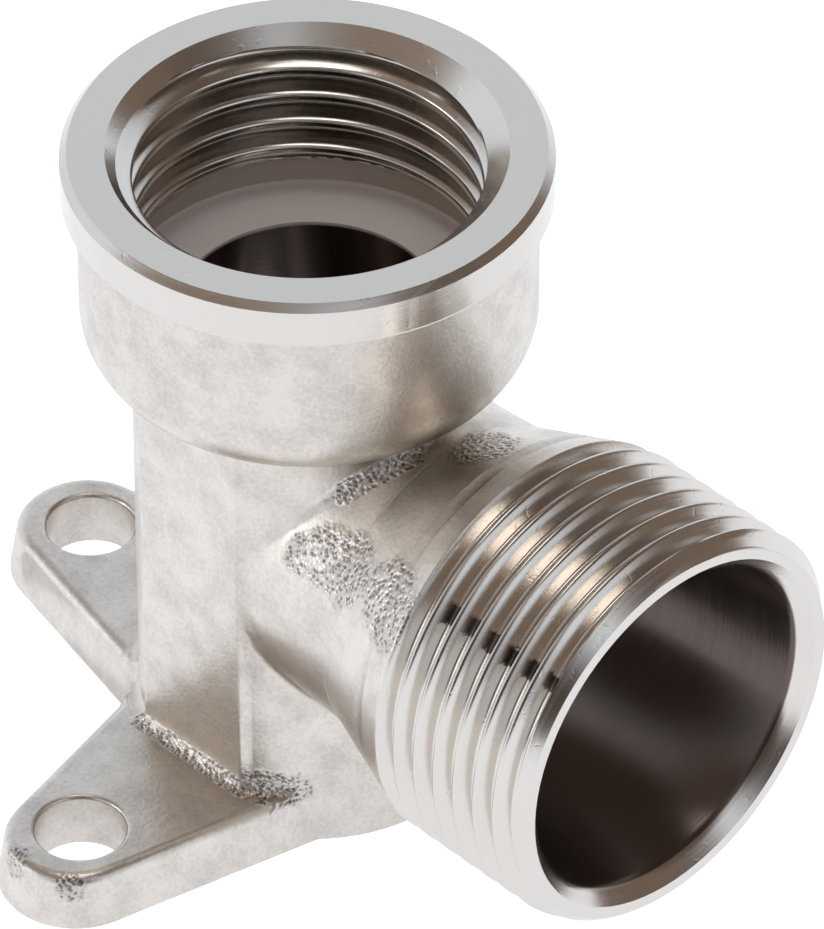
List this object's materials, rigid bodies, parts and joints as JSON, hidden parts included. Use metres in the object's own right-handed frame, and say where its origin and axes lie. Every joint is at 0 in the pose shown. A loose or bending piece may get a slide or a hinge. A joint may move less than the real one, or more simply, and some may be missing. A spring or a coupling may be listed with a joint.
{
  "type": "wall plate elbow",
  "caption": "Nickel-plated brass pipe elbow on a wall plate: upright threaded socket, threaded outlet to one side and flat ears with screw holes.",
  "frame": {"origin": "on the socket's axis, at the wall face of the plate", "axes": "+Z out of the wall along the socket, +X out of the outlet, the ears along -X and both ways along Y"},
  "size_m": [0.0507, 0.0444, 0.041],
  "materials": {
    "plated_brass": "nickel plating, blasted on the forged faces and shiny on the turned ones"
  },
  "bodies": {
    "root": {"elbow_body": "plated_brass"}
  },
  "joints": []
}
